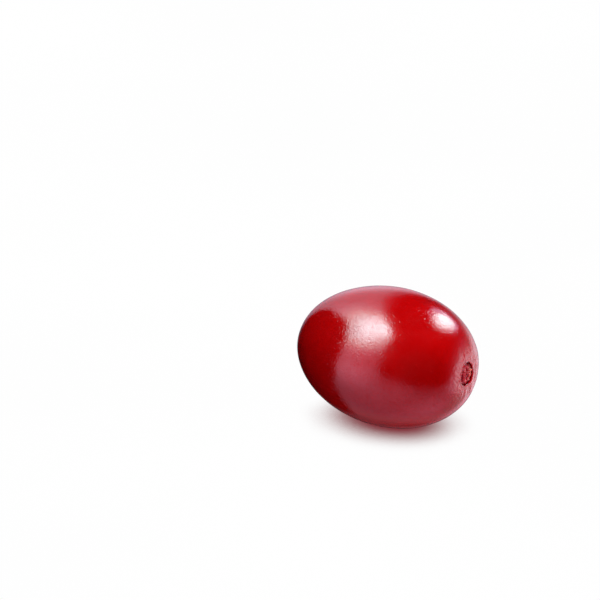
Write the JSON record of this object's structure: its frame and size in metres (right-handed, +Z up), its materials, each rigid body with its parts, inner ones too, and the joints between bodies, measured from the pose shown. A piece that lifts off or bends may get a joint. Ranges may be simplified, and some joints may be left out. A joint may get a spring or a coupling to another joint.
{
  "type": "cornelian cherry",
  "caption": "Ripe cornelian cherry lying on its side: a glossy red egg-shaped fruit with a torn stalk scar at one end and a small flower scar at the other.",
  "frame": {"origin": "on the surface that the fruit lies on, below the middle of its bounding box", "axes": "+X along the fruit, towards the end with the stalk scar; +Z up; +Y across it"},
  "size_m": [0.019, 0.014, 0.0139],
  "materials": {
    "fruit_skin": "thin, taut, deep red fruit skin, glossy with a fine pitted grain; dry reddish-brown tissue in the scars at both ends"
  },
  "bodies": {
    "root": {"fruit": "fruit_skin"}
  },
  "joints": []
}
